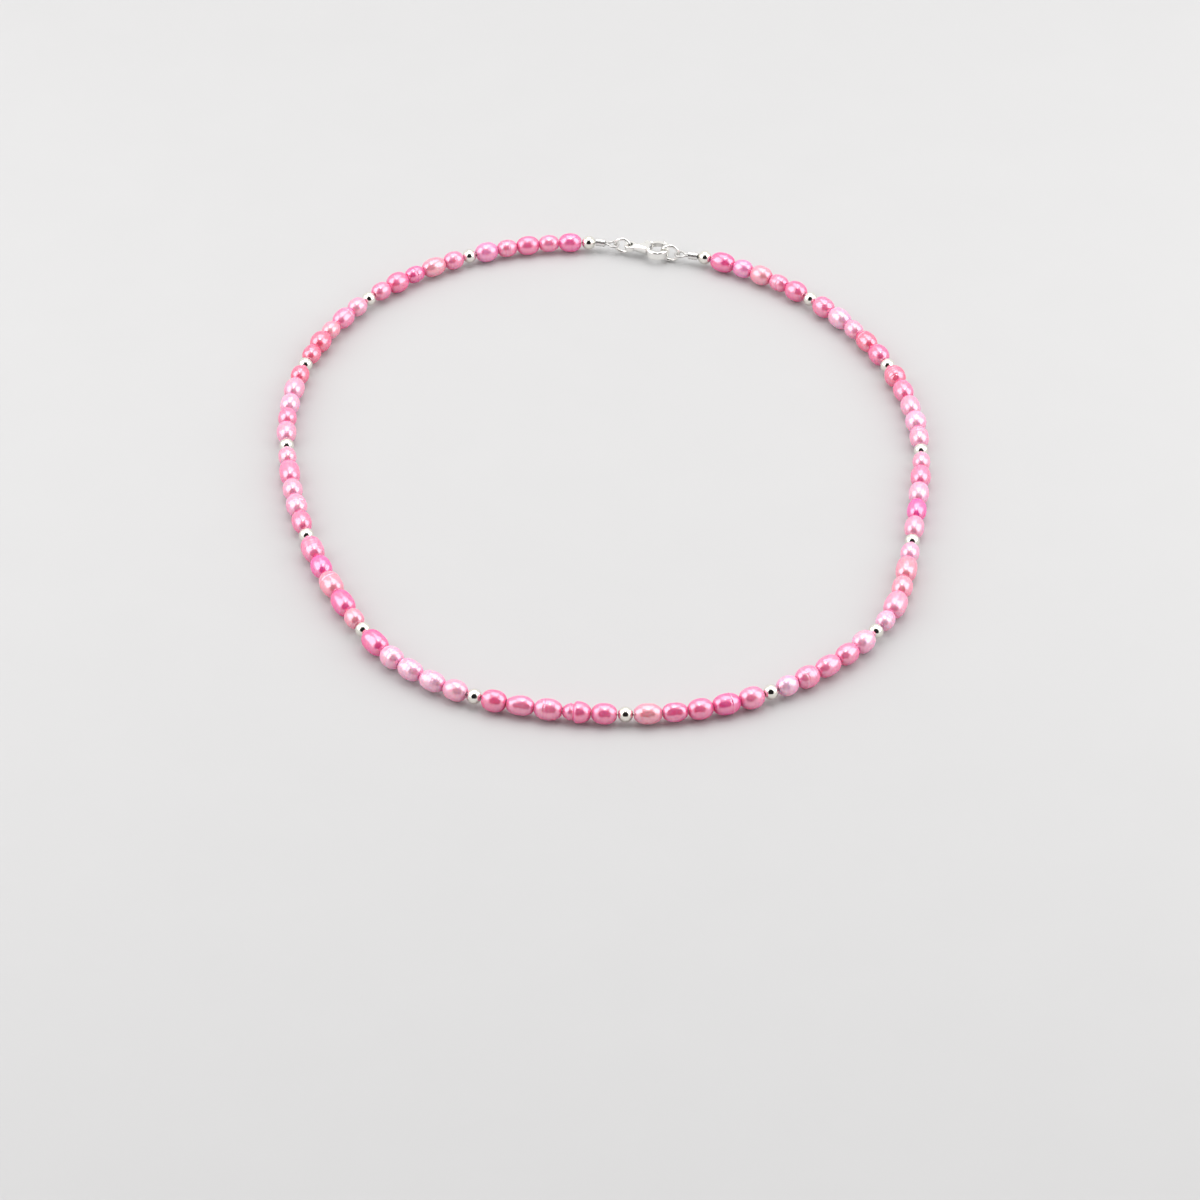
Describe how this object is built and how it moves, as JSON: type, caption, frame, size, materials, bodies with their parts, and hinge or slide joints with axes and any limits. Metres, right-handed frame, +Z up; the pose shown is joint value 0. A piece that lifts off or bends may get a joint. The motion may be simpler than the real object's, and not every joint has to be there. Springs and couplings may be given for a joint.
{
  "type": "pearl necklace",
  "caption": "Closed strand of small oval freshwater pearls in groups between round silver beads, on a wire with a lobster clasp.",
  "frame": {"origin": "under the middle of the loop, on the surface that the pearls lie on", "axes": "+X to the wearer's left side as seen from the front, +Y from the front bead to the clasp, +Z up"},
  "size_m": [0.1334, 0.1562, 0.0045],
  "materials": {
    "pearl": "dyed pink nacre, high lustre with soft banding",
    "silver_bead": "polished silver",
    "wire": "fine coated beading wire",
    "crimp_metal": "polished silver",
    "clasp_silver": "polished silver",
    "spring_wire": "spring steel"
  },
  "bodies": {
    "back": {"pearls_left_7": "pearl", "pearls_left_8": "pearl", "pearls_right_7": "pearl", "wire_back_left": "wire", "wire_back_right": "wire", "crimp_left": "crimp_metal", "crimp_right": "crimp_metal"},
    "strip_5": {"pearls_left_6": "pearl", "pearls_right_6": "pearl", "wire_sides_5": "wire"},
    "strip_4": {"pearls_left_5": "pearl", "pearls_right_5": "pearl", "wire_sides_4": "wire"},
    "strip_3": {"pearls_left_4": "pearl", "pearls_right_4": "pearl", "wire_sides_3": "wire"},
    "strip_2": {"pearls_left_3": "pearl", "pearls_right_3": "pearl", "wire_sides_2": "wire"},
    "strip_1": {"pearls_left_2": "pearl", "pearls_right_2": "pearl", "wire_sides_1": "wire"},
    "front": {"pearls_left_1": "pearl", "pearls_right_1": "pearl", "wire_front": "wire"},
    "clasp": {"clasp_body": "clasp_silver", "clasp_pin": "clasp_silver", "clasp_spring": "spring_wire", "jump_ring": "clasp_silver", "catch_ring": "clasp_silver"},
    "lever": {"clasp_lever": "clasp_silver"},
    "bead_front": {"silver_bead_front": "silver_bead"},
    "bead_left_1": {"silver_bead_left_1": "silver_bead"},
    "bead_left_2": {"silver_bead_left_2": "silver_bead"},
    "bead_left_3": {"silver_bead_left_3": "silver_bead"},
    "bead_left_4": {"silver_bead_left_4": "silver_bead"},
    "bead_left_5": {"silver_bead_left_5": "silver_bead"},
    "bead_left_6": {"silver_bead_left_6": "silver_bead"},
    "bead_left_7": {"silver_bead_left_7": "silver_bead"},
    "bead_left_8": {"silver_bead_left_8": "silver_bead"},
    "bead_right_1": {"silver_bead_right_1": "silver_bead"},
    "bead_right_2": {"silver_bead_right_2": "silver_bead"},
    "bead_right_3": {"silver_bead_right_3": "silver_bead"},
    "bead_right_4": {"silver_bead_right_4": "silver_bead"},
    "bead_right_5": {"silver_bead_right_5": "silver_bead"},
    "bead_right_6": {"silver_bead_right_6": "silver_bead"},
    "bead_right_7": {"silver_bead_right_7": "silver_bead"}
  },
  "joints": [
    {"name": "drape_6", "type": "hinge", "parent": "back", "child": "strip_5", "pos_m": [-0.00277, 0.05551, 0.00225], "axis": [-1, 0.0004, 0], "range_deg": [-45, 45]},
    {"name": "drape_5", "type": "hinge", "parent": "strip_5", "child": "strip_4", "pos_m": [-0.0013, 0.03234, 0.00225], "axis": [-1, 0.0025, 0], "range_deg": [-45, 45]},
    {"name": "drape_4", "type": "hinge", "parent": "strip_4", "child": "strip_3", "pos_m": [0.00018, 0.00455, 0.00225], "axis": [-0.9999, 0.0124, 0], "range_deg": [-45, 45]},
    {"name": "drape_3", "type": "hinge", "parent": "strip_3", "child": "strip_2", "pos_m": [0.00125, -0.02415, 0.00225], "axis": [-0.9999, 0.0147, 0], "range_deg": [-45, 45]},
    {"name": "drape_2", "type": "hinge", "parent": "strip_2", "child": "strip_1", "pos_m": [0.00318, -0.05197, 0.00225], "axis": [-1, 0.0048, 0], "range_deg": [-45, 45]},
    {"name": "drape_1", "type": "hinge", "parent": "strip_1", "child": "front", "pos_m": [0.00374, -0.07041, 0.00225], "axis": [-0.9998, -0.0222, 0], "range_deg": [-45, 45]},
    {"name": "bead_front_spin", "type": "hinge", "parent": "front", "child": "bead_front", "pos_m": [0.00425, -0.07612, 0.00225], "axis": [0.9999, -0.015, 0], "continuous": true},
    {"name": "bead_left_1_spin", "type": "hinge", "parent": "strip_1", "child": "bead_left_1", "pos_m": [-0.02438, -0.07104, 0.00225], "axis": [0.929, -0.3702, 0], "continuous": true},
    {"name": "bead_left_2_spin", "type": "hinge", "parent": "strip_2", "child": "bead_left_2", "pos_m": [-0.04634, -0.05174, 0.00225], "axis": [0.5007, -0.8656, 0], "continuous": true},
    {"name": "bead_left_3_spin", "type": "hinge", "parent": "strip_3", "child": "bead_left_3", "pos_m": [-0.05875, -0.02328, 0.00225], "axis": [0.2941, -0.9558, 0], "continuous": true},
    {"name": "bead_left_4_spin", "type": "hinge", "parent": "strip_4", "child": "bead_left_4", "pos_m": [-0.06434, 0.00535, 0.00225], "axis": [0.0867, -0.9962, 0], "continuous": true},
    {"name": "bead_left_5_spin", "type": "hinge", "parent": "strip_5", "child": "bead_left_5", "pos_m": [-0.062, 0.03249, 0.00225], "axis": [-0.2762, -0.9611, 0], "continuous": true},
    {"name": "bead_left_6_spin", "type": "hinge", "parent": "back", "child": "bead_left_6", "pos_m": [-0.04971, 0.05552, 0.00225], "axis": [-0.6528, -0.7575, 0], "continuous": true},
    {"name": "bead_left_7_spin", "type": "hinge", "parent": "back", "child": "bead_left_7", "pos_m": [-0.02873, 0.07103, 0.00225], "axis": [-0.9157, -0.4018, 0], "continuous": true},
    {"name": "bead_left_8_spin", "type": "hinge", "parent": "back", "child": "bead_left_8", "pos_m": [-0.00301, 0.07598, 0.00225], "axis": [-0.9996, 0.0291, 0], "continuous": true},
    {"name": "bead_right_1_spin", "type": "hinge", "parent": "strip_1", "child": "bead_right_1", "pos_m": [0.03187, -0.06979, 0.00225], "axis": [0.8926, 0.4508, 0], "continuous": true},
    {"name": "bead_right_2_spin", "type": "hinge", "parent": "strip_2", "child": "bead_right_2", "pos_m": [0.0527, -0.05221, 0.00225], "axis": [0.5946, 0.804, 0], "continuous": true},
    {"name": "bead_right_3_spin", "type": "hinge", "parent": "strip_3", "child": "bead_right_3", "pos_m": [0.06125, -0.02503, 0.00225], "axis": [0.1685, 0.9857, 0], "continuous": true},
    {"name": "bead_right_4_spin", "type": "hinge", "parent": "strip_4", "child": "bead_right_4", "pos_m": [0.0647, 0.00375, 0.00225], "axis": [0.0096, 1, 0], "continuous": true},
    {"name": "bead_right_5_spin", "type": "hinge", "parent": "strip_5", "child": "bead_right_5", "pos_m": [0.0594, 0.03219, 0.00225], "axis": [-0.3697, 0.9292, 0], "continuous": true},
    {"name": "bead_right_6_spin", "type": "hinge", "parent": "back", "child": "bead_right_6", "pos_m": [0.04418, 0.05549, 0.00225], "axis": [-0.7037, 0.7105, 0], "continuous": true},
    {"name": "bead_right_7_spin", "type": "hinge", "parent": "back", "child": "bead_right_7", "pos_m": [0.02205, 0.0705, 0.00225], "axis": [-0.9204, 0.3909, 0], "continuous": true},
    {"name": "clasp_roll", "type": "hinge", "parent": "back", "child": "clasp", "pos_m": [0.00958, 0.07353, 0.00225], "axis": [0.967, -0.2548, 0], "range_deg": [-20, 20]},
    {"name": "lever_press", "type": "hinge", "parent": "clasp", "child": "lever", "pos_m": [0.01007, 0.07467, 0.00225], "axis": [0, 0, -1], "range_deg": [0, 22], "stiffness_Nm_per_rad": 0.004, "springref_deg": -20.05}
  ]
}
